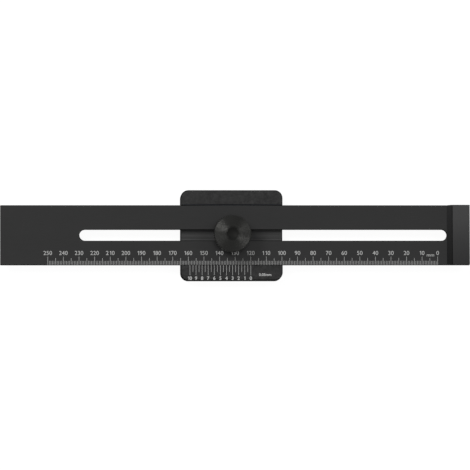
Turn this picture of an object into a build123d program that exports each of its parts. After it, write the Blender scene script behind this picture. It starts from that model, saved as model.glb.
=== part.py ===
"""Marking ruler with a sliding stop, in millimetres.

+X runs along the beam towards the scribing end, +Y towards the beam's plain edge, and +Z out of the graduated
face. The origin is on the surface that the slider's back rests on, under the middle of the beam. The slider is
set to the reading that rest_reading gives: the distance from its stop face to the scribing edge.
"""
from build123d import *
import math
import os

# Beam: a flat bar with a long slot for the clamp screw
scale_length = 250.0
tail_length = 30.5
zero_offset = 20.5
beam_width = 38.4
beam_thickness = 4.0
beam_edge_break = 0.3
slot_tail_margin = 50.8
slot_head_gap = 0.05
slot_screw_clearance = 0.6
slot_edge_break = 0.2

# Scribing head: an angle-shaped block over the end of the bar
head_rise = 4.0
head_land_length = 11.0
head_groove_width = 0.6
head_groove_depth = 1.0
head_ramp_length = 2.9
head_lip = 3.0
head_edge_break = 0.3
head_pin_diameter = 2.5
head_pin_grip = 2.5
head_pin_end_break = 0.3
head_pin_edge_margin = 4.0
head_pin_to_screw = 7.5

# Slider: a plate behind the beam, with a rail along each edge of it
rest_reading = 120.0
slider_length = 65.4
slider_base = 8.0
rail_overhang = 9.7
slider_corner_radius = 5.0
slider_edge_break = 0.5
rail_inner_break = 0.2
rail_beam_clearance = 0.05
root_relief_width = 0.8
root_relief_depth = 0.4

# Gib spring: a bowed strip in a pocket of the upper rail, between the rail and the beam's plain edge
gib_pocket_depth = 0.5
gib_pocket_land = 1.2
gib_thickness = 0.25
gib_end_clearance = 0.15
gib_recess = 0.6
gib_beam_clearance = 0.06

# Countersunk screws that hold the head from behind
head_screw_diameter = 3.0
head_screw_head_diameter = 5.6
head_screw_hole_clearance = 0.2
head_screw_slot_width = 0.8
head_screw_slot_depth = 0.7
head_screw_sink = 0.1
head_screw_grip = 3.0
head_screw_tip_break = 0.35
tapped_hole_clearance = 0.02
tapped_hole_end_room = 0.4

# Clamp screw: a knurled thumb screw of the high type
thread_diameter = 6.0
thread_clearance = 0.05
shank_length = 12.0
shank_end_break = 0.8
neck_relief = 0.6
neck_length = 3.0
tapped_bore_break = 0.4
collar_diameter = 12.0
collar_height = 10.0
collar_fillet = 0.8
knob_diameter = 24.0
knob_height = 5.0
knob_rim_break = 0.6
knob_dish_diameter = 7.4
knob_dish_depth = 1.0
knurl_pitch = 1.6
knurl_depth = 0.45
knurl_angle = 90.0

# Captive washer under the collar
washer_diameter = 18.0
washer_thickness = 1.6
washer_bore_clearance = 0.1
washer_edge_break = 0.2

# Lengths closer than this are the same
rounding = 1e-4

# Places along the beam
beam_length = tail_length + scale_length + zero_offset
scribing_end_x = beam_length / 2
tail_end_x = -beam_length / 2
bar_end_x = scribing_end_x - head_lip
land_start_x = scribing_end_x - head_land_length
ramp_top_x = land_start_x - head_groove_width
ramp_foot_x = ramp_top_x - head_ramp_length
slot_start_x = tail_end_x + slot_tail_margin
slot_end_x = ramp_foot_x - slot_head_gap
head_fastener_x = (land_start_x + bar_end_x) / 2
stop_face_x = scribing_end_x - rest_reading
slider_centre_x = stop_face_x - slider_length / 2
slider_start_x = stop_face_x - slider_length

# Places across the beam
beam_edge_y = beam_width / 2
lower_rail_y = -beam_edge_y - rail_beam_clearance
upper_rail_y = beam_edge_y + rail_beam_clearance
gib_pocket_y = upper_rail_y + gib_pocket_depth
slider_width = beam_width + 2 * rail_overhang
head_pin_y = beam_edge_y - head_pin_edge_margin
head_screw_y = head_pin_y - head_pin_to_screw
slot_width = thread_diameter + 2 * slot_screw_clearance

# Heights
beam_back_z = slider_base
beam_face_z = beam_back_z + beam_thickness
head_top_z = beam_face_z + head_rise
gib_bottom_z = beam_back_z + gib_recess
gib_top_z = beam_face_z - gib_recess
collar_seat_z = beam_face_z + washer_thickness
knob_underside_z = collar_seat_z + collar_height
knob_top_z = knob_underside_z + knob_height

# Shapes shared by two pieces
gib_pocket_half_length = slider_length / 2 - gib_pocket_land
gib_half_length = gib_pocket_half_length - gib_end_clearance
gib_bow = gib_pocket_y - beam_edge_y - gib_thickness - gib_beam_clearance
neck_radius = thread_diameter / 2 - neck_relief
head_screw_cone = (head_screw_head_diameter - head_screw_diameter) / 2


def block(x_range, y_range, z_range):
    """Box between two values along each axis."""
    size = [high - low for low, high in (x_range, y_range, z_range)]
    centre = [(high + low) / 2 for low, high in (x_range, y_range, z_range)]
    return Pos(*centre) * Box(*size)


def rod(radius, bottom_z, top_z):
    """Upright cylinder about the Z axis between two heights."""
    upright = Cylinder(radius, top_z - bottom_z, align=(Align.CENTER, Align.CENTER, Align.MIN))
    return Pos(0, 0, bottom_z) * upright


def turned(points):
    """Solid turned about the Z axis from an outline of radius and height points."""
    outline = make_face(Plane.XZ * Polyline(*points, close=True))
    return revolve(outline, Axis.Z)


def near(value, target):
    """True where two lengths are the same but for rounding."""
    return abs(value - target) < rounding


def pick_edges(part, test):
    """The edges of a part whose centres pass a test."""
    return part.edges().filter_by(lambda edge: test(edge.center()))


def on_both_sides(y):
    """The two places in the head's row of fasteners at a distance from the middle, on the bar's back."""
    return [Pos(head_fastener_x, side * y, beam_back_z) for side in (-1, 1)]


def head_screw_hole():
    """Countersunk clearance hole through the bar, cut upwards from the plane z = 0."""
    head_radius = head_screw_head_diameter / 2
    hole_radius = head_screw_diameter / 2 + head_screw_hole_clearance
    countersink = turned([
        (0, 0),
        (head_radius, 0),
        (head_radius, head_screw_sink),
        (head_radius - head_screw_cone, head_screw_sink + head_screw_cone),
        (0, head_screw_sink + head_screw_cone),
    ])
    return countersink + rod(hole_radius, 0, beam_thickness)


def make_beam():
    """Slotted bar, drilled from behind for the head's screws and pins."""
    bar = block((tail_end_x, bar_end_x), (-beam_edge_y, beam_edge_y), (beam_back_z, beam_face_z))
    outer_edges = pick_edges(
        bar, lambda centre: near(abs(centre.Y), beam_edge_y) and centre.X < bar_end_x - rounding
    )
    tail_edges = pick_edges(bar, lambda centre: near(centre.X, tail_end_x) and near(centre.Y, 0))
    bar = chamfer(outer_edges + tail_edges, beam_edge_break)
    slot_middle = Pos((slot_start_x + slot_end_x) / 2, 0, beam_back_z)
    bar -= extrude(slot_middle * SlotOverall(slot_end_x - slot_start_x, slot_width), beam_thickness)
    slot_rims = pick_edges(
        bar,
        lambda centre: abs(centre.Y) < slot_width / 2 + rounding
        and slot_start_x - rounding < centre.X < slot_end_x + rounding
        and (near(centre.Z, beam_back_z) or near(centre.Z, beam_face_z)),
    )
    bar = chamfer(slot_rims, slot_edge_break)
    for place in on_both_sides(head_screw_y):
        bar -= place * head_screw_hole()
    for place in on_both_sides(head_pin_y):
        bar -= place * rod(head_pin_diameter / 2, 0, beam_thickness)
    return bar


def make_scribing_head():
    """Angle-shaped block: a ramp, a groove and a ground land on the bar's face, and a lip down its end."""
    side = Polyline(
        (ramp_foot_x, beam_face_z),
        (ramp_top_x, head_top_z),
        (ramp_top_x, head_top_z - head_groove_depth),
        (land_start_x, head_top_z - head_groove_depth),
        (land_start_x, head_top_z),
        (scribing_end_x, head_top_z),
        (scribing_end_x, beam_back_z),
        (bar_end_x, beam_back_z),
        (bar_end_x, beam_face_z),
        close=True,
    )
    head = extrude(make_face(Plane.XZ * side), beam_edge_y, both=True)
    land_edges = pick_edges(
        head, lambda centre: near(centre.Z, head_top_z) and centre.X > land_start_x + rounding
    )
    head = chamfer(land_edges, head_edge_break)
    tapped_radius = head_screw_diameter / 2 + tapped_hole_clearance
    tapped_top = beam_thickness + head_screw_grip + tapped_hole_end_room
    for place in on_both_sides(head_screw_y):
        head -= place * rod(tapped_radius, beam_thickness, tapped_top)
    for place in on_both_sides(head_pin_y):
        head -= place * rod(head_pin_diameter / 2, beam_thickness, beam_thickness + head_pin_grip)
    return head


def make_head_screws():
    """The two slotted countersunk screws that hold the head, pointing up from the bar's back."""
    shank_radius = head_screw_diameter / 2
    head_radius = head_screw_head_diameter / 2
    tip = beam_thickness + head_screw_grip
    screw = turned([
        (0, head_screw_sink),
        (head_radius, head_screw_sink),
        (shank_radius, head_screw_sink + head_screw_cone),
        (shank_radius, tip - head_screw_tip_break),
        (shank_radius - head_screw_tip_break, tip),
        (0, tip),
    ])
    screw -= block(
        (-head_radius, head_radius),
        (-head_screw_slot_width / 2, head_screw_slot_width / 2),
        (head_screw_sink, head_screw_sink + head_screw_slot_depth),
    )
    return [place * screw for place in on_both_sides(head_screw_y)]


def make_head_pins():
    """The two dowel pins that locate the head."""
    pin = rod(head_pin_diameter / 2, 0, beam_thickness + head_pin_grip)
    pin = chamfer(pin.edges().filter_by(GeomType.CIRCLE), head_pin_end_break)
    return [place * pin for place in on_both_sides(head_pin_y)]


def gib_strip():
    """Bowed strip seen along Z: two equal arcs, a thickness apart, that bulge from the pocket to the beam."""
    rail_side = ThreePointArc((gib_half_length, 0), (0, -gib_bow), (-gib_half_length, 0))
    beam_side = ThreePointArc(
        (-gib_half_length, -gib_thickness), (0, -gib_bow - gib_thickness), (gib_half_length, -gib_thickness)
    )
    ends = [Line((x, 0), (x, -gib_thickness)) for x in (-gib_half_length, gib_half_length)]
    return make_face([rail_side, beam_side, *ends])


def make_gib_spring():
    """Bowed strip whose ends rest on the pocket's floor and whose middle bears on the beam."""
    place = Pos(slider_centre_x, gib_pocket_y, gib_bottom_z)
    return extrude(place * gib_strip(), gib_top_z - gib_bottom_z)


def make_slider_body():
    """Plate with a milled channel for the beam, a tapped bore and a pocket for the gib spring."""
    plan = RectangleRounded(slider_length, slider_width, slider_corner_radius)
    body = extrude(Pos(slider_centre_x, 0, 0) * plan, beam_face_z)
    rims = pick_edges(body, lambda centre: near(centre.Z, 0) or near(centre.Z, beam_face_z))
    body = chamfer(rims, slider_edge_break)
    x_range = (slider_start_x, stop_face_x)
    body -= block(x_range, (lower_rail_y, upper_rail_y), (slider_base, beam_face_z))
    channel_ends = pick_edges(
        body,
        lambda centre: near(centre.Z, slider_base)
        and (near(centre.X, slider_start_x) or near(centre.X, stop_face_x)),
    )
    body = chamfer(channel_ends, slider_edge_break)
    pocket_x_range = (slider_centre_x - gib_pocket_half_length, slider_centre_x + gib_pocket_half_length)
    body -= block(pocket_x_range, (upper_rail_y, gib_pocket_y), (slider_base, beam_face_z))
    inner_sides = (lower_rail_y, upper_rail_y, gib_pocket_y)
    rail_edges = pick_edges(
        body,
        lambda centre: near(centre.Z, beam_face_z) and any(near(centre.Y, side) for side in inner_sides),
    )
    body = chamfer(rail_edges, rail_inner_break)
    relief_z = (slider_base - root_relief_depth, slider_base)
    body -= block(x_range, (lower_rail_y, lower_rail_y + root_relief_width), relief_z)
    body -= block(x_range, (upper_rail_y - root_relief_width, upper_rail_y), relief_z)
    bore_radius = thread_diameter / 2 + thread_clearance
    bore = turned([
        (0, 0),
        (bore_radius + tapped_bore_break, 0),
        (bore_radius, tapped_bore_break),
        (bore_radius, slider_base - tapped_bore_break),
        (bore_radius + tapped_bore_break, slider_base),
        (0, slider_base),
    ])
    return body - Pos(slider_centre_x, 0, 0) * bore


def make_clamp_washer():
    """Flat washer, captive on the neck of the clamp screw because its bore is smaller than the thread."""
    washer = rod(washer_diameter / 2, beam_face_z, collar_seat_z)
    washer = chamfer(washer.edges().filter_by(GeomType.CIRCLE), washer_edge_break)
    washer -= rod(neck_radius + washer_bore_clearance, beam_face_z, collar_seat_z)
    return Pos(slider_centre_x, 0, 0) * washer


def knurl_groove():
    """One upright V-groove of the knurl, in the rim on the +X side."""
    rim_radius = knob_diameter / 2
    outside_radius = rim_radius + knurl_depth
    half_mouth = 2 * knurl_depth * math.tan(math.radians(knurl_angle / 2))
    section = Polyline(
        (rim_radius - knurl_depth, 0), (outside_radius, -half_mouth), (outside_radius, half_mouth), close=True
    )
    return extrude(Pos(0, 0, knob_underside_z) * make_face(section), knob_height)


def make_clamp_screw():
    """Thumb screw turned from one bar: knurled knob with a dished centre, collar, neck and threaded shank."""
    thread_radius = thread_diameter / 2
    collar_radius = collar_diameter / 2
    knob_radius = knob_diameter / 2
    tip_z = collar_seat_z - shank_length
    neck_bottom_z = collar_seat_z - neck_length
    screw = turned([
        (0, tip_z),
        (thread_radius - shank_end_break, tip_z),
        (thread_radius, tip_z + shank_end_break),
        (thread_radius, neck_bottom_z - neck_relief),
        (neck_radius, neck_bottom_z),
        (neck_radius, collar_seat_z),
        (collar_radius, collar_seat_z),
        (collar_radius, knob_underside_z),
        (knob_radius - knob_rim_break, knob_underside_z),
        (knob_radius, knob_underside_z + knob_rim_break),
        (knob_radius, knob_top_z - knob_rim_break),
        (knob_radius - knob_rim_break, knob_top_z),
        (0, knob_top_z),
    ])
    throat = screw.edges().filter_by(GeomType.CIRCLE).filter_by(
        lambda edge: near(edge.radius, collar_radius) and near(edge.center().Z, knob_underside_z)
    )
    screw = fillet(throat, collar_fillet)
    dish_radius = (knob_dish_diameter ** 2 / 4 + knob_dish_depth ** 2) / (2 * knob_dish_depth)
    screw -= Pos(0, 0, knob_top_z - knob_dish_depth + dish_radius) * Sphere(dish_radius)
    groove_count = round(math.pi * knob_diameter / knurl_pitch)
    groove = knurl_groove()
    screw -= [Rot(0, 0, 360 * index / groove_count) * groove for index in range(groove_count)]
    return Pos(slider_centre_x, 0, 0) * screw


def write(name, shape):
    """Write one named sub-part, from one solid or a list of separate solids."""
    part = Compound(children=shape) if isinstance(shape, list) else shape
    part.label = name
    export_step(part, f"parts/{name}.step")


os.makedirs("parts", exist_ok=True)
write("beam", make_beam())
write("scribing_head", make_scribing_head())
write("head_screws", make_head_screws())
write("head_pins", make_head_pins())
write("slider_body", make_slider_body())
write("gib_spring", make_gib_spring())
write("clamp_washer", make_clamp_washer())
write("clamp_screw", make_clamp_screw())
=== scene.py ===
"""Finish of a marking ruler with a sliding stop, laid out as an add-on.

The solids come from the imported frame. This file adds the graduation, the vernier and their figures,
gives every solid its steel finish, and sets the stage. Lengths are in metres, and within the finishes
in millimetres.
"""
import math

import bmesh
import bpy
import numpy as np
from bpy.props import FloatProperty, FloatVectorProperty, IntProperty, PointerProperty
from mathutils import Matrix, Vector


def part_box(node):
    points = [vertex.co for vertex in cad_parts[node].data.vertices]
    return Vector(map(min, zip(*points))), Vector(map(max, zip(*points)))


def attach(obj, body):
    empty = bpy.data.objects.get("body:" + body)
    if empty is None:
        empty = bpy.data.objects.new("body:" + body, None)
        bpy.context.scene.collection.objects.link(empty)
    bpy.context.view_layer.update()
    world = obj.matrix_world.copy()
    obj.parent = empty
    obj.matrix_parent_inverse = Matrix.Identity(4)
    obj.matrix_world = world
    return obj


bl_info = {
    "name": "Marking ruler",
    "version": (1, 0, 0),
    "blender": (4, 5, 0),
    "location": "3D View > Sidebar > Ruler",
    "description": "Graduation, vernier, steel finishes and stage of a marking ruler with a sliding stop",
    "category": "Object",
}

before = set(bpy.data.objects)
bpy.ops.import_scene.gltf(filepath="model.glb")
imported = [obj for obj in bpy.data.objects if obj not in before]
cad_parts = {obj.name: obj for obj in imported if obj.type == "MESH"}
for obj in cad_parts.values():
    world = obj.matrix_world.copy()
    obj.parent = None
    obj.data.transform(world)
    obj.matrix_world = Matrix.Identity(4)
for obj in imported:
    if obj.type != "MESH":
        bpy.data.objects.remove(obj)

bar_low, bar_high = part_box("beam")
head_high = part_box("scribing_head")[1]
slider_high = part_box("slider_body")[1]
screw_low, screw_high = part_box("clamp_screw")

mm = 0.001
face_height = bar_high.z
zero_mark_inset = 20.5 * mm
rail_clearance = 0.05 * mm

# Places and sizes in millimetres, which the finishes follow
screw_axis_x = (screw_low.x + screw_high.x) / 2 / mm
knob_top = screw_high.z / mm
knob_radius = (screw_high.x - screw_low.x) / 2 / mm
dish_radius = 3.7
dish_depth = 1.0
ring_pitch = 0.16
neck_foot = 10.6
thread_pitch = 1.0
bore_radius = 3.05
channel_floor = bar_low.z / mm
# Places across the channel of its two painted highlights
painted_broad_highlight_y = -0.35
painted_thin_highlight_y = -2.6
land_length = 11.0
groove_width = 0.6
land_start_x = head_high.x / mm - land_length
groove_start_x = land_start_x - groove_width

# Figures at font size 1
figure_advance = 0.5


def length(name, description, default):
    """A length property in metres."""
    return FloatProperty(
        name=name,
        description=description,
        default=default,
        min=0.0,
        precision=5,
        subtype="DISTANCE",
        unit="LENGTH",
    )


def colour(name, description, default):
    """A linear colour property."""
    return FloatVectorProperty(
        name=name,
        description=description,
        default=default,
        size=3,
        min=0.0,
        max=1.0,
        subtype="COLOR",
    )


def angle(name, description, degrees):
    """An angle property, given in degrees and kept in radians."""
    return FloatProperty(name=name, description=description, default=math.radians(degrees), subtype="ANGLE")


def watts(name, description, default):
    """A lamp's power property in watts."""
    return FloatProperty(name=name, description=description, default=default, min=0.0, unit="POWER")


def number(name, description, default):
    """A plain number property that isn't negative."""
    return FloatProperty(name=name, description=description, default=default, min=0.0)


class RULER_graduation(bpy.types.PropertyGroup):
    """Sizes of the millimetre scale on the bar."""

    span: length("Span", "Length of the scale from its zero", 250 * mm)
    line_width: length("Line width", "Width of each line", 0.2 * mm)
    ten_length: length("Ten line", "Length of the line at each ten millimetres", 5.4 * mm)
    five_length: length("Five line", "Length of the line at each five millimetres", 4.45 * mm)
    one_length: length("One line", "Length of the line at each millimetre", 2.65 * mm)
    edge_break: length("Edge break", "Width of the bar's broken edge, which the lines run over", 0.3 * mm)
    figure_height: length("Figure height", "Height of the figures", 2.6 * mm)
    figure_rise: length("Figure rise", "From the bar's edge to the foot of the figures", 6.45 * mm)
    figure_stretch: number("Figure stretch", "Width of the figures against the font's own", 1.02)
    unit_height: length("Unit height", "Height of the figures that the unit belongs to", 2.1 * mm)
    unit_stretch: number("Unit stretch", "Width of the unit's letters against the font's own", 1.1)
    unit_rise: length("Unit rise", "From the bar's edge to the foot of the unit", 5.45 * mm)
    unit_shift: length("Unit shift", "From the zero line to the middle of the unit", 4.65 * mm)
    fill_height: length("Fill height", "How far the fill stands above the steel", 0.012 * mm)
    fill_depth: length("Fill depth", "How far the fill reaches into the steel", 0.05 * mm)


class RULER_vernier(bpy.types.PropertyGroup):
    """Sizes of the vernier on the slider."""

    divisions: IntProperty(name="Divisions", description="Divisions of the vernier", default=20, min=2)
    shortfall: length("Shortfall", "How much each division is less than two millimetres", 0.05 * mm)
    long_length: length("Long line", "Length of each numbered line", 6.5 * mm)
    short_length: length("Short line", "Length of the lines between", 4.4 * mm)
    edge_break: length("Edge break", "Width of the rail's broken inner edge", 0.2 * mm)
    figure_height: length("Figure height", "Height of the vernier's figures", 2.3 * mm)
    figure_fall: length("Figure fall", "From the rail's edge to the foot of the figures", 9.45 * mm)
    figure_stretch: number("Figure stretch", "Width of the figures against the font's own", 1.0)
    unit_height: length("Unit height", "Height of the figures of the least reading", 1.75 * mm)
    unit_stretch: number("Unit stretch", "Width of the least reading against the font's own", 1.06)
    unit_fall: length("Unit fall", "From the rail's edge to the foot of the least reading", 6.93 * mm)
    unit_shift: length("Unit shift", "From the zero line to the middle of the least reading", 9.2 * mm)
    boldness: number("Boldness", "Part of the font size by which the figures are fatter", 0.024)


class RULER_finishes(bpy.types.PropertyGroup):
    """Colours of the steels and of the fill."""

    bar: colour("Bar", "Satin dark steel of the bar", (0.0328, 0.0328, 0.0328))
    head: colour("Head", "Ground hard steel of the head", (0.0374, 0.0374, 0.0377))
    slider: colour("Slider", "Blasted dark steel of the slider", (0.0245, 0.0245, 0.0245))
    channel: colour("Channel", "Ground floor of the slider's channel", (0.0433, 0.0433, 0.0433))
    screw: colour("Screw", "Turned dark steel of the clamp screw and its washer", (0.019, 0.019, 0.0182))
    spring: colour("Spring", "Blued steel of the gib spring", (0.046, 0.048, 0.054))
    straw: colour("Straw", "Straw tint in the spring's blueing", (0.11, 0.08, 0.05))
    fasteners: colour("Fasteners", "Black oxide of the head's screws", (0.022, 0.022, 0.024))
    fill: colour("Fill", "Light fill of the lines and figures", (0.425, 0.425, 0.42))


class RULER_stage(bpy.types.PropertyGroup):
    """Camera, lamps and floor."""

    distance: length("Distance", "Distance of the camera from the bar's face", 4.0)
    sight: length("Sight", "How far the camera sees", 10.0)
    frame_width: length("Frame width", "Width of the picture at the bar's face", 301.11 * mm)
    tilt: angle("Tilt", "Lean of the view towards the graduated edge", 4.1)
    turn: angle("Turn", "Lean of the view towards the bar's tail", 2.5)
    lamp_distance: length("Lamp distance", "Distance of the soft lamps", 2.0)
    lamp_size: length("Lamp size", "Side of the square lamps", 0.62)
    lamp_lean: angle("Lamp lean", "Lean of the lamps from straight above", 36)
    left_azimuth: angle("Left azimuth", "Compass angle of the left lamp, from the scribing end", 142.5)
    right_azimuth: angle("Right azimuth", "Compass angle of the right lamp, from the scribing end", 28)
    left_power: watts("Left lamp", "Power of the left lamp", 20.0)
    right_power: watts("Right lamp", "Power of the right lamp", 6.2)
    sky: number("Sky", "Strength of the even light from all round", 0.5)
    floor: colour("Floor", "Colour of the pale floor", (0.82, 0.82, 0.82))
    floor_glow: number("Floor glow", "Whiteness of the floor outside its shadows", 0.945)
    floor_shade: number("Floor shade", "Part of the floor's tone that shadows take away", 0.11)
    floor_width: length("Floor width", "Side of the square floor", 40.0)
    floor_drop: length("Floor drop", "Gap between the slider's back and the floor", 0.02 * mm)
    aim_shift: length("Aim shift", "How far the view is moved to the tail and to the plain edge", 0.06 * mm)


class Field:
    """A value that varies over a surface. Sums and products of numbers add Math nodes."""

    def __init__(self, finish, socket):
        self.finish = finish
        self.socket = socket

    def beside(self, output):
        """Another output of the same node."""
        return Field(self.finish, self.socket.node.outputs[output])

    def math(self, operation, *others):
        """A Math node on this value and others."""
        inputs = dict(enumerate((self, *others)))
        return self.finish.node("ShaderNodeMath", {"operation": operation}, inputs)

    def __add__(self, other):
        return self.math("ADD", other)

    def __sub__(self, other):
        return self.math("SUBTRACT", other)

    def __mul__(self, other):
        return self.math("MULTIPLY", other)

    def __rsub__(self, other):
        return self.finish.node("ShaderNodeMath", {"operation": "SUBTRACT"}, {0: other, 1: self})

    __radd__ = __add__
    __rmul__ = __mul__


class Nodes:
    """An emptied node tree, and the one way in which nodes are added to it."""

    def __init__(self, tree):
        self.tree = tree
        self.tree.nodes.clear()

    def node(self, kind, settings=None, inputs=None, output=0):
        """A node of a type, given its settings and then the values or links of its sockets.

        It gives one of the node's outputs.
        """
        made = self.tree.nodes.new(kind)
        for key, value in (settings or {}).items():
            setattr(made, key, value)
        for key, value in (inputs or {}).items():
            if isinstance(value, Field):
                self.tree.links.new(value.socket, made.inputs[key])
            else:
                made.inputs[key].default_value = value
        return Field(self, made.outputs[output]) if made.outputs else None

    def seen_or_lit(self, seen, lit):
        """One shader for what is seen, straight or in glossy surfaces, and another for what gives light."""
        path = self.node("ShaderNodeLightPath", output="Is Camera Ray")
        sight = path
        for ray in ("Is Glossy Ray", "Is Transmission Ray"):
            sight = sight.math("MAXIMUM", path.beside(ray))
        return self.node("ShaderNodeMixShader", inputs={0: sight, 1: lit, 2: seen})


class Finish(Nodes):
    """A material written as expressions on places in millimetres."""

    def __init__(self, name):
        self.material = bpy.data.materials.new(name)
        self.material.use_nodes = True
        super().__init__(self.material.node_tree)
        coordinates = self.node("ShaderNodeTexCoord", output="Object")
        self.place = self.vector("SCALE", coordinates, scale=1 / mm)
        self.normal = coordinates.beside("Normal")

    def vector(self, operation, first, second=None, scale=None):
        """A Vector Math node. LENGTH and DOT_PRODUCT give a number."""
        inputs = {0: first}
        if second is not None:
            inputs[1] = second
        if scale is not None:
            inputs["Scale"] = scale
        output = "Value" if operation in ("LENGTH", "DOT_PRODUCT") else "Vector"
        return self.node("ShaderNodeVectorMath", {"operation": operation}, inputs, output)

    def parts(self, vector):
        """The three components of a vector."""
        first = self.node("ShaderNodeSeparateXYZ", inputs={0: vector})
        return first, first.beside(1), first.beside(2)

    def step(self, value, low, high):
        """0 below one value, 1 above the other, and smooth between them."""
        return self.node(
            "ShaderNodeMapRange",
            {"interpolation_type": "SMOOTHSTEP"},
            {"Value": value, "From Min": low, "From Max": high},
        )

    def noise(self, per_mm, detail=2.0, at=None):
        """Even noise from -0.5 to 0.5, with so many features per millimetre along each axis."""
        spot = self.vector("MULTIPLY", at or self.place, per_mm)
        inputs = {"Vector": spot, "Scale": 1.0, "Detail": detail}
        return self.node("ShaderNodeTexNoise", inputs=inputs) - 0.5

    def mix(self, factor, first, second):
        """A colour between two colours."""
        inputs = {0: factor, 6: opaque(first), 7: opaque(second)}
        return self.node("ShaderNodeMix", {"data_type": "RGBA"}, inputs, 2)

    def slant(self):
        """1 on broken edges, whose faces lie along no axis, and 0 on the main faces."""
        x, y, z = self.parts(self.vector("ABSOLUTE", self.normal))
        return self.step(x.math("MAXIMUM", y).math("MAXIMUM", z), 0.97, 0.85)

    def wall(self):
        """1 on upright faces, which are left black, and 0 on faces that look up or down."""
        return self.step(self.parts(self.normal)[2].math("ABSOLUTE"), 0.5, 0.3)

    def relief(self, height, distance, normal=None):
        """A normal bumped by a height, given with its full depth in millimetres."""
        inputs = {"Height": height, "Strength": 1.0, "Distance": distance * mm}
        if normal is not None:
            inputs["Normal"] = normal
        return self.node("ShaderNodeBump", inputs=inputs)

    def lean(self, direction, slope):
        """The surface's normal leaned along a direction by a slope, turned into the scene's axes."""
        leaned = self.vector("ADD", self.normal, self.vector("SCALE", direction, scale=slope))
        return self.node(
            "ShaderNodeVectorTransform",
            {"vector_type": "NORMAL", "convert_from": "OBJECT", "convert_to": "WORLD"},
            {0: self.vector("NORMALIZE", leaned)},
        )

    def about_screw(self):
        """A place seen from the screw's axis: its three components, the way outwards and the distance."""
        arm = self.vector("SUBTRACT", self.place, (screw_axis_x, 0.0, 0.0))
        level = self.vector("MULTIPLY", arm, (1.0, 1.0, 0.0))
        return *self.parts(arm), self.vector("NORMALIZE", level), self.vector("LENGTH", level)

    def helix(self, x, y, z):
        """Where a place lies between two turns of the helix z = pitch times the turn, from 0 to 1."""
        turn = y.math("ARCTAN2", x) * (0.5 / math.pi)
        return (z * (1.0 / thread_pitch) - turn).math("FRACT")

    def rounds(self, radius, per_mm):
        """Noise that follows the distance from an axis alone, as turned rings do."""
        spot = self.node("ShaderNodeCombineXYZ", inputs={0: radius})
        return self.noise((per_mm, 0.0, 0.0), 3.0, spot)

    def close(self, tone, roughness, metallic=1.0, normal=None, specular=0.0):
        """Joins colour, roughness and normal into the finished material.

        The specular level is that of the part that isn't metallic.
        """
        inputs = {
            "Base Color": tone,
            "Roughness": roughness,
            "Metallic": metallic,
            "Specular IOR Level": specular,
        }
        if normal is not None:
            inputs["Normal"] = normal
        surface = self.node("ShaderNodeBsdfPrincipled", inputs=inputs)
        self.node("ShaderNodeOutputMaterial", inputs={"Surface": surface})
        return self.material


def opaque(value):
    """A colour with its alpha, or a field as it is."""
    return value if isinstance(value, Field) else (*value, 1.0)


def satin_bar(colours):
    """Satin steel: fine grain along the bar, faint clouds, black walls, and broken edges darkened as
    painted shade, with lighter worn flecks.
    """
    finish = Finish("satin_bar")
    grain = finish.noise((0.10, 7.0, 7.0), 3.0)
    fine = finish.noise((0.9, 26.0, 26.0), 1.0)
    cloud = finish.noise((0.03, 0.07, 0.07), 2.0)
    fleck = finish.step(finish.noise((0.7, 2.4, 2.4), 3.0), 0.12, 0.19)
    edge, wall = finish.slant(), finish.wall()
    # Painted shade: the broken edges are darkened; the lighter flecks on them are wear.
    shade = 1.0 + 0.20 * grain + 0.16 * fine + 0.05 * cloud + edge * (fleck * 0.4 - 0.65)
    tone = finish.vector("SCALE", tuple(colours.bar), scale=shade)
    roughness = 0.25 + 0.12 * grain + 0.03 * cloud + 0.6 * wall
    return finish.close(tone, roughness, 0.55 - 0.55 * wall, finish.relief(grain + 0.5 * fine, 0.004))


def ground_head(colours):
    """Hardened ground steel: grinding lines, black walls, painted shade on the ramp and in the groove, and
    a crowned land.
    Painted light makes the head lighter towards the plain edge and darker towards the graduated edge.

    The crown leans the normal along the width by a slope in proportion to the distance from the middle.
    """
    finish = Finish("ground_head")
    lines = finish.noise((8.0, 0.10, 8.0), 3.0)
    fine = finish.noise((30.0, 0.8, 30.0), 1.0)
    tint = finish.noise((0.05, 0.06, 0.05), 1.0)
    edge, wall = finish.slant(), finish.wall()
    fleck = finish.step(finish.noise((2.0, 0.9, 2.0), 3.0), 0.10, 0.18)
    x, y = finish.parts(finish.place)[:2]
    land = finish.step(x, land_start_x - 0.02, land_start_x + 0.02)
    ramp = 1.0 - finish.step(x, groove_start_x - 0.02, groove_start_x + 0.02)
    groove = 1.0 - land - ramp
    dull = wall.math("MAXIMUM", ramp)
    # Painted shade on the land's broken edges; the lighter flecks on them are wear.
    shade = 1.0 + 0.22 * lines + 0.16 * fine + 0.10 * tint + land * edge * (fleck * 0.4 - 0.6)
    # Painted light: lighter towards the plain edge and darker towards the graduated edge. Painted shade
    # darkens the groove and the ramp.
    shade = shade * (1.08 + 0.012 * y) * (1.0 - 0.4 * groove - 0.47 * ramp)
    tone = finish.vector("SCALE", tuple(colours.head), scale=shade)
    crown = finish.lean((0.0, 1.0, 0.0), y * 0.014)
    roughness = 0.35 + 0.12 * lines + 0.05 * tint + 0.5 * dull
    metallic = (0.55 - 0.45 * ramp) * (1.0 - wall)
    return finish.close(tone, roughness, metallic, finish.relief(lines + 0.4 * fine, 0.003, crown))


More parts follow.
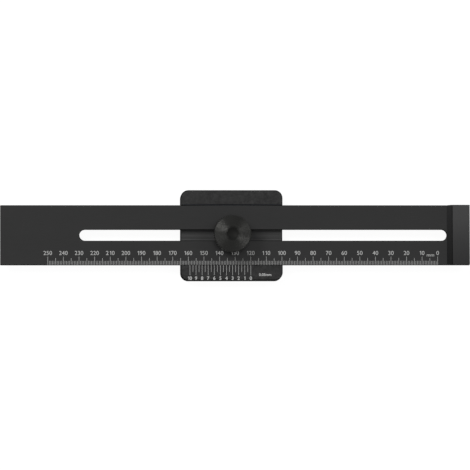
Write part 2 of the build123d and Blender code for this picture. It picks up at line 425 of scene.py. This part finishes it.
def blasted_slider(colours):
    """Fine blasted steel, mottled, with black walls, painted shade on the broken edges, a streaked channel
    and a threaded bore.

    Two brighter lines along the channel floor are painted highlights. The thread is a ridge whose height
    follows the distance, up or down, to the nearest turn of the helix.
    """
    finish = Finish("blasted_slider")
    x, y, z, _, radius = finish.about_screw()
    up = finish.parts(finish.normal)[2]
    grit = finish.noise((5.0, 5.0, 5.0), 2.0)
    blotch = finish.noise((0.45, 0.45, 0.45), 2.0) + finish.noise((1.1, 1.1, 1.1), 2.0)
    edge, wall = finish.slant(), finish.wall()
    fleck = finish.step(finish.noise((1.6, 1.6, 1.6), 3.0), 0.12, 0.19)
    # Painted shade: the broken edges are darkened; the lighter flecks on them are wear.
    blasted = 1.0 + 0.35 * grit + blotch * (0.9 - 0.5 * wall) + edge * (fleck * 0.4 - 0.5)
    streak = finish.noise((0.04, 0.9, 0.9), 2.0)
    hair = finish.noise((0.2, 12.0, 12.0), 2.0)
    # Two painted highlights: brighter lines along the channel floor.
    painted_broad_highlight = finish.step((y - painted_broad_highlight_y).math("ABSOLUTE"), 0.8, 0.3)
    painted_thin_highlight = finish.step((y - painted_thin_highlight_y).math("ABSOLUTE"), 0.45, 0.2)
    ground = 1.0 + 0.5 * streak + 0.25 * hair + 0.2 * painted_broad_highlight + 0.5 * painted_thin_highlight
    floor = finish.step(up, 0.9, 0.97) * finish.step(z, channel_floor + 0.6, channel_floor + 0.2)
    tone = finish.mix(
        floor,
        finish.vector("SCALE", tuple(colours.slider), scale=blasted),
        finish.vector("SCALE", tuple(colours.channel), scale=ground),
    )
    roughness = 0.52 + 0.08 * floor + 0.33 * wall
    roughness = roughness + (1.0 - floor) * (0.16 * grit + 0.1 * blotch) + 0.1 * floor * hair
    in_bore = finish.step(radius, bore_radius + 0.15, bore_radius + 0.05)
    thread = finish.helix(x, y, z).math("PINGPONG", 0.5)
    height = (1.0 - floor) * (grit + 0.3 * blotch) * 0.012 + floor * hair * 0.004 + in_bore * thread * 0.5
    metallic = 1.0 - wall * (1.0 - in_bore) - 0.65 * floor
    return finish.close(tone, roughness, metallic, finish.relief(height, 1.0))


def turned_screw(colours):
    """Turned steel: rings on the knob's face, painted shade in and around the dish and on the knurled rim,
    and a thread on the shank, painted darker in its roots.

    On the face the normal leans inwards and outwards in turn, as a sine of the distance from the axis.
    That draws the two crossed fans of light. On the shank it leans up and down along the helix.
    """
    finish = Finish("turned_screw")
    x, y, z, outward, radius = finish.about_screw()
    up = finish.parts(finish.normal)[2]
    top = finish.step(z, knob_top - dish_depth - 0.4, knob_top - dish_depth - 0.2)
    face = top * finish.step(up, 0.6, 0.9)
    dish = face * finish.step(radius, dish_radius + 0.02, dish_radius - 0.04)
    around_dish = face * finish.step(radius, dish_radius + 1.6, dish_radius - 0.1)
    rim = finish.step(radius, knob_radius - 0.42, knob_radius - 0.05)
    wander = finish.noise((0.25, 0.25, 0.25), 2.0)
    rings = (radius * (2 * math.pi / ring_pitch) + 6.0 * wander).math("SINE")
    bands = finish.rounds(radius, 1.6)
    grain = finish.noise((4.0, 4.0, 1.0), 3.0)
    shank = finish.step(z, neck_foot + 0.15, neck_foot - 0.05)
    helix = finish.helix(x, y, z)
    flank = helix.math("GREATER_THAN", 0.5) * 2.0 - 1.0
    groove = helix.math("PINGPONG", 0.5)
    face_slope = (face - dish) * (0.32 * rings + 0.08 * bands + 0.042)
    side_slope = (1.0 - face) * (0.10 * bands + shank * 0.55 * flank)
    across = finish.lean(finish.mix(face, (0.0, 0.0, 1.0), outward), face_slope + side_slope)
    cloud = finish.noise((0.12, 0.12, 0.12), 2.0)
    shade = 1.0 + 0.3 * cloud + 0.4 * bands * face + 0.3 * grain
    # Painted shade: darker in and around the dish, on the knurled rim and in the roots of the thread.
    shade = shade - 0.36 * around_dish - 0.3 * rim * (1.0 - face) - shank * (0.7 - 1.4 * groove)
    tone = finish.vector("SCALE", tuple(colours.screw), scale=shade)
    roughness = 0.27 + 0.10 * grain + 0.08 * cloud + 0.33 * dish
    return finish.close(tone, roughness, normal=across)


def turned_washer(colours):
    """Turned steel of the washer: rings on its faces and fine scratches."""
    finish = Finish("turned_washer")
    outward, radius = finish.about_screw()[3:]
    rings = finish.rounds(radius, 5.0)
    scratch = finish.noise((1.2, 1.2, 1.2), 3.0)
    tone = finish.vector("SCALE", tuple(colours.screw), scale=1.1 + 0.4 * rings + 0.3 * scratch)
    return finish.close(tone, 0.34 + 0.2 * scratch, normal=finish.lean(outward, 0.3 * rings))


def blued_spring(colours):
    """Blued strip: straw and blue drift along the strip over fine rolling lines."""
    finish = Finish("blued_spring")
    drift = finish.noise((0.06, 0.3, 0.3), 2.0)
    lines = finish.noise((0.3, 9.0, 9.0), 2.0)
    straw = finish.vector("SCALE", tuple(colours.straw), scale=1.0 + 0.3 * lines)
    blue = finish.vector("SCALE", tuple(colours.spring), scale=1.0 + 0.3 * lines)
    tone = finish.mix(finish.step(drift, 0.08, 0.25), blue, straw)
    return finish.close(tone, 0.28 + 0.2 * lines, normal=finish.relief(lines, 0.002))


def black_fasteners(colours):
    """Black oxide with fine grain and rubbed flecks."""
    finish = Finish("black_fasteners")
    grain = finish.noise((6.0, 6.0, 6.0), 3.0)
    rub = finish.step(finish.noise((1.5, 1.5, 1.5), 3.0), 0.12, 0.22)
    tone = finish.vector("SCALE", tuple(colours.fasteners), scale=1.0 + 0.5 * grain + 0.9 * rub)
    return finish.close(tone, 0.42 + 0.2 * grain, normal=finish.relief(grain, 0.006))


def light_fill(colours):
    """Matt fill of the lines and figures, slightly uneven, thin in places so that the steel darkens it."""
    finish = Finish("light_fill")
    speck = finish.noise((14.0, 14.0, 14.0), 3.0)
    thin = finish.noise((0.9, 0.9, 0.9), 2.0)
    tone = finish.vector("SCALE", tuple(colours.fill), scale=1.0 + 0.25 * speck + 0.2 * thin)
    return finish.close(tone, 0.7 + 0.2 * speck, 0.0, finish.relief(speck, 0.006), 0.2)


def dress(node, material):
    """Gives a solid of the frame its finish."""
    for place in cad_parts[node].material_slots:
        place.material = material


def add_piece(name, points, faces, material, body):
    """Puts arrays of points and faces into a new object that rides on a body, with its faces outwards."""
    mesh = bpy.data.meshes.new(name)
    mesh.from_pydata(points.tolist(), [], faces)
    mesh.validate()
    shell = bmesh.new()
    shell.from_mesh(mesh)
    bmesh.ops.recalc_face_normals(shell, faces=shell.faces)
    shell.to_mesh(mesh)
    shell.free()
    mesh.materials.append(material)
    piece = bpy.data.objects.new(name, mesh)
    bpy.context.scene.collection.objects.link(piece)
    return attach(piece, body)


def lines_along(places, ends, width, path, height, depth):
    """Lines of rectangular section, carried along a path over the edge, all at once.

    A line at x runs from the path's first point towards its own end: point = (x +- width / 2, y, z).
    There y and z go through the path's points and then straight on to the line's end, and z is raised
    by the height or lowered by the depth. Points come as an array of lines by path points by four
    corners.
    """
    count, stations = len(places), len(path) + 1
    y = np.empty((count, stations))
    z = np.empty((count, stations))
    y[:, :-1] = [point[0] for point in path]
    z[:, :-1] = [point[1] for point in path]
    y[:, -1] = ends
    z[:, -1] = path[-1][1]
    side = np.array([-0.5, 0.5, 0.5, -0.5]) * width
    level = np.array([-depth, -depth, height, height])
    points = np.empty((count, stations, 4, 3))
    points[..., 0] = np.asarray(places)[:, None, None] + side
    points[..., 1] = y[:, :, None]
    points[..., 2] = z[:, :, None] + level
    first = np.arange(count)[:, None, None] * stations * 4
    ring = np.arange(stations - 1)[None, :, None] * 4 + first
    corner = np.arange(4)
    following = (corner + 1) % 4
    walls = np.stack(
        [ring + corner, ring + following, ring + following + 4, ring + corner + 4], axis=-1
    ).reshape(-1, 4)
    near_end = (first[:, 0] + corner[::-1]).reshape(-1, 4)
    far_end = (first[:, 0] + (stations - 1) * 4 + corner).reshape(-1, 4)
    return points.reshape(-1, 3), np.concatenate([walls, near_end, far_end]).tolist()


def figure_shell(text, boldness):
    """A figure or word as a closed shell of thickness 1, its foot on y = 0, at font size 1.

    The boldness moves the outline outwards by that part of the font size.
    """
    curve = bpy.data.curves.new("figure", "FONT")
    curve.body = text
    curve.align_x = "CENTER"
    curve.extrude = 0.5
    curve.offset = boldness
    curve.resolution_u = 4
    holder = bpy.data.objects.new("figure", curve)
    bpy.context.scene.collection.objects.link(holder)
    mesh = bpy.data.meshes.new_from_object(holder.evaluated_get(bpy.context.evaluated_depsgraph_get()))
    shell = bmesh.new()
    shell.from_mesh(mesh)
    bmesh.ops.remove_doubles(shell, verts=shell.verts, dist=1e-5)
    points = np.array([tuple(vertex.co) for vertex in shell.verts])
    faces = [[vertex.index for vertex in face.verts] for face in shell.faces]
    shell.free()
    bpy.data.objects.remove(holder)
    bpy.data.meshes.remove(mesh)
    bpy.data.curves.remove(curve)
    return points, faces


def figure_one(boldness):
    """A figure one with a slanted flag, as a closed shell of thickness 1 at font size 1.

    The outline goes round the stem and along the flag's two edges, and is carried from -0.5 to 0.5.
    """
    stem_left = 0.061 - boldness
    stem_right = 0.159 + boldness
    foot = -boldness
    top = 0.682 + boldness
    flag_tip = stem_left - 0.14
    outline = np.array([
        (stem_left, foot),
        (stem_right, foot),
        (stem_right, top),
        (stem_left + 0.02, top),
        (flag_tip, top - 0.13),
        (flag_tip, top - 0.23),
        (stem_left, top - 0.14),
    ])
    count = len(outline)
    points = np.empty((2, count, 3))
    points[..., :2] = outline
    points[..., 2] = [[-0.5], [0.5]]
    around = np.arange(count)
    following = (around + 1) % count
    walls = np.stack([around, following, following + count, around + count], axis=-1)
    return points.reshape(-1, 3), [around[::-1].tolist(), (around + count).tolist(), *walls.tolist()]


def joined(shells):
    """Several shells of points and faces as one."""
    starts = np.cumsum([0] + [len(points) for points, faces in shells]).tolist()
    all_faces = [
        [start + index for index in face]
        for start, (points, faces) in zip(starts, shells)
        for face in faces
    ]
    return np.concatenate([points for points, faces in shells]), all_faces


def word_shell(word, boldness):
    """A number set figure by figure, each an advance after the last, or another word as a whole."""
    if not word.isdigit():
        return figure_shell(word, boldness)
    shells = []
    for index, figure in enumerate(word):
        points, faces = figure_one(boldness) if figure == "1" else figure_shell(figure, boldness)
        shells.append((points + (figure_advance * index, 0.0, 0.0), faces))
    return joined(shells)


def lettering(name, words, places, style, fill, material, body):
    """Words at places on the graduated face, in a style of height, stretch of the width and boldness.

    Each point is its place plus the word's point times the height of a figure, stretched along x.
    """
    height, stretch, boldness = style
    zero = figure_shell("0", boldness)[0]
    scale = height / (zero[:, 1].max() - zero[:, 1].min())
    thickness = fill.fill_height + fill.fill_depth
    shells = []
    for word, (x, y) in zip(words, places):
        points, faces = word_shell(word, boldness)
        middle = (points[:, 0].max() + points[:, 0].min()) / 2
        points = (points - (middle, 0.0, 0.0)) * (scale * stretch, scale, thickness)
        shells.append((points + (x, y, face_height + fill.fill_height - thickness / 2), faces))
    return add_piece(name, *joined(shells), material, body)


def fill_material():
    """The fill's material, made once."""
    return bpy.data.materials.get("light_fill") or light_fill(bpy.context.scene.ruler_finishes)


class RULER_OT_graduation(bpy.types.Operator):
    """Add the scale's lines, figures and unit to the bar"""

    bl_idname = "ruler.graduation"
    bl_label = "Graduation"

    def execute(self, context):
        sizes = context.scene.ruler_graduation
        material = fill_material()
        zero_x = head_high.x - zero_mark_inset
        edge = bar_low.y
        marks = np.arange(round(sizes.span / mm) + 1)
        reach = np.where(marks % 5 == 0, sizes.five_length, sizes.one_length)
        reach = np.where(marks % 10 == 0, sizes.ten_length, reach)
        over_edge = [
            (edge - sizes.fill_height, face_height - sizes.edge_break),
            (edge + sizes.edge_break, face_height),
        ]
        points, faces = lines_along(
            zero_x - marks * mm,
            edge + reach,
            sizes.line_width,
            over_edge,
            sizes.fill_height,
            sizes.fill_depth,
        )
        add_piece("scale_lines", points, faces, material, "beam")
        tens = marks[marks % 10 == 0]
        places = [(zero_x - ten * mm, edge + sizes.figure_rise) for ten in tens]
        words = [str(ten) for ten in tens]
        style = (sizes.figure_height, sizes.figure_stretch, 0.0)
        lettering("scale_figures", words, places, style, sizes, material, "beam")
        unit_place = (zero_x - sizes.unit_shift, edge + sizes.unit_rise)
        unit_style = (sizes.unit_height, sizes.unit_stretch, 0.0)
        lettering("scale_unit", ["mm"], [unit_place], unit_style, sizes, material, "beam")
        return {"FINISHED"}


class RULER_OT_vernier(bpy.types.Operator):
    """Add the vernier's lines, figures and least reading to the slider's rail"""

    bl_idname = "ruler.vernier"
    bl_label = "Vernier"

    def execute(self, context):
        sizes = context.scene.ruler_vernier
        fill = context.scene.ruler_graduation
        material = fill_material()
        zero_x = slider_high.x - zero_mark_inset
        edge = bar_low.y - rail_clearance
        marks = np.arange(sizes.divisions + 1)
        division = 2 * mm - sizes.shortfall
        reach = np.where(marks % 2 == 0, sizes.long_length, sizes.short_length)
        over_edge = [
            (edge, face_height - sizes.edge_break),
            (edge - sizes.edge_break, face_height),
        ]
        points, faces = lines_along(
            zero_x - marks * division,
            edge - reach,
            fill.line_width,
            over_edge,
            fill.fill_height,
            fill.fill_depth,
        )
        add_piece("vernier_lines", points, faces, material, "slider")
        numbered = marks[marks % 2 == 0]
        places = [(zero_x - mark * division, edge - sizes.figure_fall) for mark in numbered]
        words = [str(mark // 2) for mark in numbered]
        style = (sizes.figure_height, sizes.figure_stretch, sizes.boldness)
        lettering("vernier_figures", words, places, style, fill, material, "slider")
        unit_place = (zero_x + sizes.unit_shift, edge - sizes.unit_fall)
        unit_style = (sizes.unit_height, sizes.unit_stretch, sizes.boldness)
        lettering("vernier_unit", ["0.05mm"], [unit_place], unit_style, fill, material, "slider")
        return {"FINISHED"}


class RULER_OT_bar_finishes(bpy.types.Operator):
    """Give the bar, its head, the head's screws and the pins their finishes"""

    bl_idname = "ruler.bar_finishes"
    bl_label = "Bar finishes"

    def execute(self, context):
        colours = context.scene.ruler_finishes
        dress("beam", satin_bar(colours))
        ground = ground_head(colours)
        dress("scribing_head", ground)
        dress("head_pins", ground)
        dress("head_screws", black_fasteners(colours))
        return {"FINISHED"}


class RULER_OT_slider_finishes(bpy.types.Operator):
    """Give the slider and its gib spring their finishes"""

    bl_idname = "ruler.slider_finishes"
    bl_label = "Slider finishes"

    def execute(self, context):
        colours = context.scene.ruler_finishes
        dress("slider_body", blasted_slider(colours))
        dress("gib_spring", blued_spring(colours))
        return {"FINISHED"}


class RULER_OT_clamp_finishes(bpy.types.Operator):
    """Give the clamp screw and its washer their finishes"""

    bl_idname = "ruler.clamp_finishes"
    bl_label = "Clamp finishes"

    def execute(self, context):
        colours = context.scene.ruler_finishes
        dress("clamp_screw", turned_screw(colours))
        dress("clamp_washer", turned_washer(colours))
        return {"FINISHED"}


def lamp(name, azimuth, power, sizes):
    """A square soft lamp that looks at the object from a compass angle, leaned from straight above."""
    light = bpy.data.lights.new(name, "AREA")
    light.shape = "SQUARE"
    light.size = sizes.lamp_size
    light.energy = power
    out = math.sin(sizes.lamp_lean)
    towards = Vector((math.cos(azimuth) * out, math.sin(azimuth) * out, math.cos(sizes.lamp_lean)))
    holder = bpy.data.objects.new(name, light)
    facing = towards.to_track_quat("Z", "Y").to_matrix().to_4x4()
    holder.matrix_world = Matrix.Translation(towards * sizes.lamp_distance) @ facing
    bpy.context.scene.collection.objects.link(holder)


class RULER_OT_stage(bpy.types.Operator):
    """Set the floor, the even light, the two soft lamps and the camera"""

    bl_idname = "ruler.stage"
    bl_label = "Stage"

    def execute(self, context):
        scene = context.scene
        sizes = scene.ruler_stage
        white = (1.0, 1.0, 1.0, 1.0)
        half = sizes.floor_width / 2
        corners = [(x * half, y * half, -sizes.floor_drop) for x, y in ((-1, -1), (1, -1), (1, 1), (-1, 1))]
        mesh = bpy.data.meshes.new("floor")
        mesh.from_pydata(corners, [], [(0, 1, 2, 3)])
        floor = bpy.data.objects.new("floor", mesh)
        scene.collection.objects.link(floor)
        finish = Finish("pale_floor")
        pale = finish.node("ShaderNodeBsdfDiffuse", inputs={0: (*sizes.floor, 1.0)})
        glow = finish.node("ShaderNodeEmission", inputs={0: white, 1: sizes.floor_glow})
        shadowed = finish.node("ShaderNodeBsdfDiffuse", inputs={0: (*[sizes.floor_shade] * 3, 1.0)})
        seen = finish.node("ShaderNodeAddShader", inputs={0: glow, 1: shadowed})
        finish.node("ShaderNodeOutputMaterial", inputs={"Surface": finish.seen_or_lit(seen, pale)})
        mesh.materials.append(finish.material)
        world = bpy.data.worlds.new("even_light")
        world.use_nodes = True
        sky = Nodes(world.node_tree)
        bright = sky.node("ShaderNodeBackground", inputs={0: white, 1: 1.0})
        soft = sky.node("ShaderNodeBackground", inputs={0: white, 1: sizes.sky})
        sky.node("ShaderNodeOutputWorld", inputs={"Surface": sky.seen_or_lit(bright, soft)})
        scene.world = world
        lamp("left_lamp", sizes.left_azimuth, sizes.left_power, sizes)
        lamp("right_lamp", sizes.right_azimuth, sizes.right_power, sizes)
        lens = bpy.data.cameras.new("camera")
        camera = bpy.data.objects.new("camera", lens)
        scene.collection.objects.link(camera)
        lens.lens = lens.sensor_width * sizes.distance / sizes.frame_width
        lens.clip_end = sizes.sight
        back = Vector((-math.tan(sizes.turn), -math.tan(sizes.tilt), 1.0)).normalized()
        right = Vector((1.0, 0.0, 0.0))
        right = (right - back * right.dot(back)).normalized()
        above = back.cross(right)
        aim = Vector((-sizes.aim_shift, sizes.aim_shift, face_height))
        pose = Matrix((right, above, back)).transposed().to_4x4()
        pose.translation = aim + back * sizes.distance
        camera.matrix_world = pose
        scene.camera = camera
        scene.view_settings.view_transform = "Standard"
        return {"FINISHED"}


class RULER_PT_panel(bpy.types.Panel):
    """Lists the ruler's steps and their sizes."""

    bl_label = "Marking ruler"
    bl_idname = "RULER_PT_panel"
    bl_space_type = "VIEW_3D"
    bl_region_type = "UI"
    bl_category = "Ruler"

    def draw(self, context):
        for operators, group in steps:
            box = self.layout.box()
            for operator in operators:
                box.operator(operator.bl_idname)
            settings = getattr(context.scene, group)
            for name in settings.bl_rna.properties.keys():
                if name not in ("rna_type", "name"):
                    box.prop(settings, name)


groups = {
    "ruler_graduation": RULER_graduation,
    "ruler_vernier": RULER_vernier,
    "ruler_finishes": RULER_finishes,
    "ruler_stage": RULER_stage,
}
steps = [
    ([RULER_OT_graduation], "ruler_graduation"),
    ([RULER_OT_vernier], "ruler_vernier"),
    ([RULER_OT_bar_finishes, RULER_OT_slider_finishes, RULER_OT_clamp_finishes], "ruler_finishes"),
    ([RULER_OT_stage], "ruler_stage"),
]
classes = [
    *groups.values(),
    *(operator for operators, group in steps for operator in operators),
    RULER_PT_panel,
]


def register():
    for entry in classes:
        bpy.utils.register_class(entry)
    for name, group in groups.items():
        setattr(bpy.types.Scene, name, PointerProperty(type=group))


def unregister():
    for name in groups:
        delattr(bpy.types.Scene, name)
    for entry in reversed(classes):
        bpy.utils.unregister_class(entry)


def main():
    """Runs every step in order."""
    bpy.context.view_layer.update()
    register()
    bpy.ops.ruler.bar_finishes()
    bpy.ops.ruler.slider_finishes()
    bpy.ops.ruler.clamp_finishes()
    bpy.ops.ruler.graduation()
    bpy.ops.ruler.vernier()
    bpy.ops.ruler.stage()


if __name__ == "__main__":
    main()
